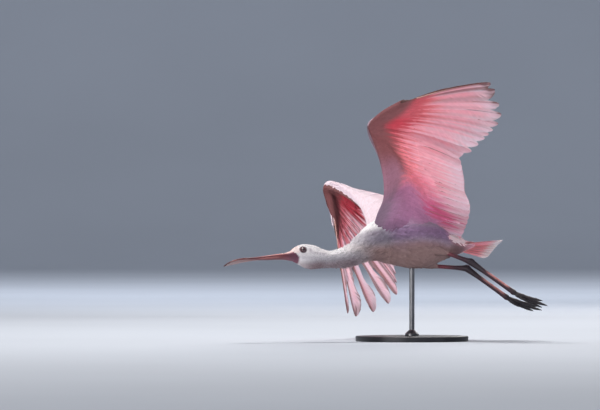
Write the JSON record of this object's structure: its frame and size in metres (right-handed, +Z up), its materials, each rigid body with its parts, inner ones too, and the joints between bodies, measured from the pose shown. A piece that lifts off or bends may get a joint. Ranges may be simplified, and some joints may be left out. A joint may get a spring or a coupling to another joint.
{
  "type": "roseate spoonbill model",
  "caption": "Life-size still model of a young roseate spoonbill in banked flight, wings raised and legs trailing, on a round display stand with a short rod.",
  "frame": {"origin": "centre of the underside of the stand's round base", "axes": "+Z up, -X the way the bird flies, -Y the bird's left side"},
  "size_m": [0.7654, 0.6187, 0.592],
  "materials": {
    "plumage_white": "soft white feathers with a faint pink tint",
    "plumage_pink": "feathers from salmon red at the wing lining to pale pink at the tips",
    "bill": "satin horn, pink above and maroon brown below",
    "eye": "wet dark maroon",
    "leg_skin": "scaled skin, dark maroon to black",
    "stand_steel": "satin dark grey paint"
  },
  "bodies": {
    "root": {"torso": "plumage_white", "neck": "plumage_white", "head": "plumage_white", "left_thigh": "plumage_white", "right_thigh": "plumage_white", "left_wing_arm": "plumage_pink", "left_wing_hand": "plumage_pink", "right_wing_arm": "plumage_pink", "right_wing_hand": "plumage_pink", "tail": "plumage_pink", "bill_upper": "bill", "bill_lower": "bill", "left_eye": "eye", "right_eye": "eye", "left_shin": "leg_skin", "left_tarsus": "leg_skin", "left_foot": "leg_skin", "right_shin": "leg_skin", "right_tarsus": "leg_skin", "right_foot": "leg_skin", "stand_base": "stand_steel", "stand_rod": "stand_steel"}
  },
  "joints": []
}
